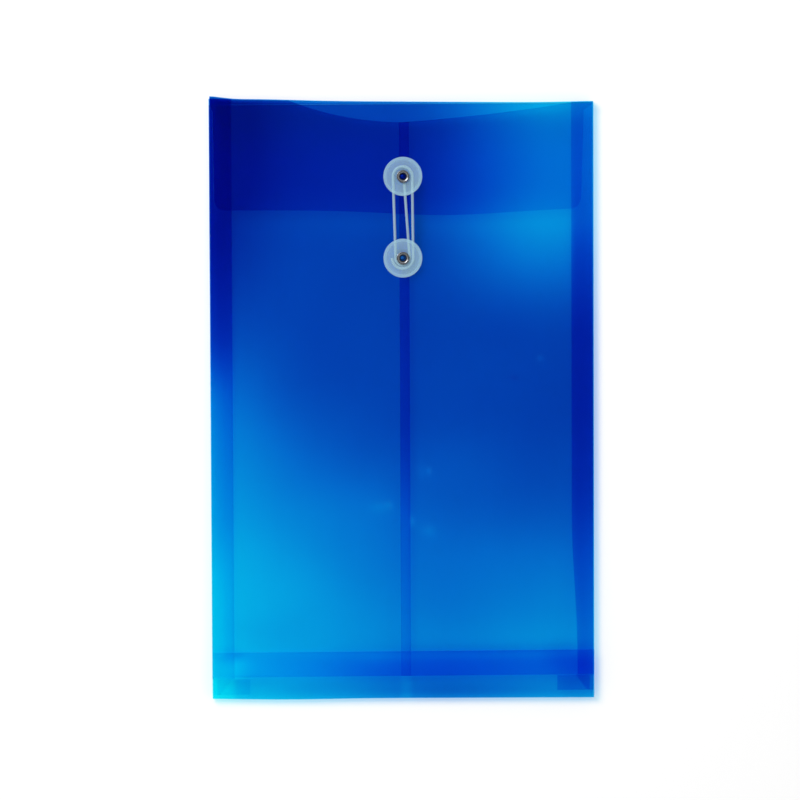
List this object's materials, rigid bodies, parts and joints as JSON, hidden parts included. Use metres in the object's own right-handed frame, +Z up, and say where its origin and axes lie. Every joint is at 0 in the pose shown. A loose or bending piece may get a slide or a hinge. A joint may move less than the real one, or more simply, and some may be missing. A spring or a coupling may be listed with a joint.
{
  "type": "document envelope with elastic cord closure",
  "caption": "Gusseted translucent film document envelope with a fold-over flap closed by an elastic cord wound round riveted disc buttons.",
  "frame": {"origin": "middle of the back panel's underside, on the surface the envelope lies on", "axes": "+X across the width to the viewer's right, +Y along the length to the flap's fold, +Z up out of the front, towards the buttons"},
  "size_m": [0.25, 0.39, 0.0141],
  "materials": {
    "film": "translucent blue polypropylene film, lightly textured satin gloss",
    "button": "milky translucent plastic, satin",
    "eyelet": "nickel-plated, satin",
    "cord": "white braided elastic"
  },
  "bodies": {
    "back": {"back_panel": "film", "top_crease": "film", "bottom_crease": "film", "left_gusset_back": "film", "right_gusset_back": "film"},
    "front": {"front_left_panel": "film", "front_right_panel": "film", "bottom_flap": "film", "left_gusset_front": "film", "right_gusset_front": "film", "left_corner_tab": "film", "right_corner_tab": "film", "lower_spacer": "button", "lower_eyelet": "eyelet", "lower_washer": "button"},
    "flap": {"closure_flap": "film", "upper_spacer": "button", "upper_eyelet": "eyelet", "upper_washer": "button", "elastic_cord": "cord"},
    "upper_disc": {"upper_disc": "button"},
    "lower_disc": {"lower_disc": "button"}
  },
  "joints": [
    {"name": "flap_fold", "type": "hinge", "parent": "back", "child": "flap", "pos_m": [0, 0.1907, 0.0043], "axis": [-1, 0, 0], "range_deg": [0, 170], "deforming": ["top_crease", "elastic_cord"]},
    {"name": "mouth_gape", "type": "hinge", "parent": "back", "child": "front", "pos_m": [0, -0.1913, 0.0037], "axis": [1, 0, 0], "range_deg": [0, 1.8]},
    {"name": "upper_disc_spin", "type": "hinge", "parent": "flap", "child": "upper_disc", "pos_m": [0, 0.1442, 0.0122], "axis": [0, 0, 1], "continuous": true},
    {"name": "lower_disc_spin", "type": "hinge", "parent": "front", "child": "lower_disc", "pos_m": [0, 0.0914, 0.0104], "axis": [0, 0, 1], "continuous": true}
  ],
  "couplings": [
    {"joint": "mouth_gape", "follows": "flap_fold", "ratio": 0.0105}
  ]
}
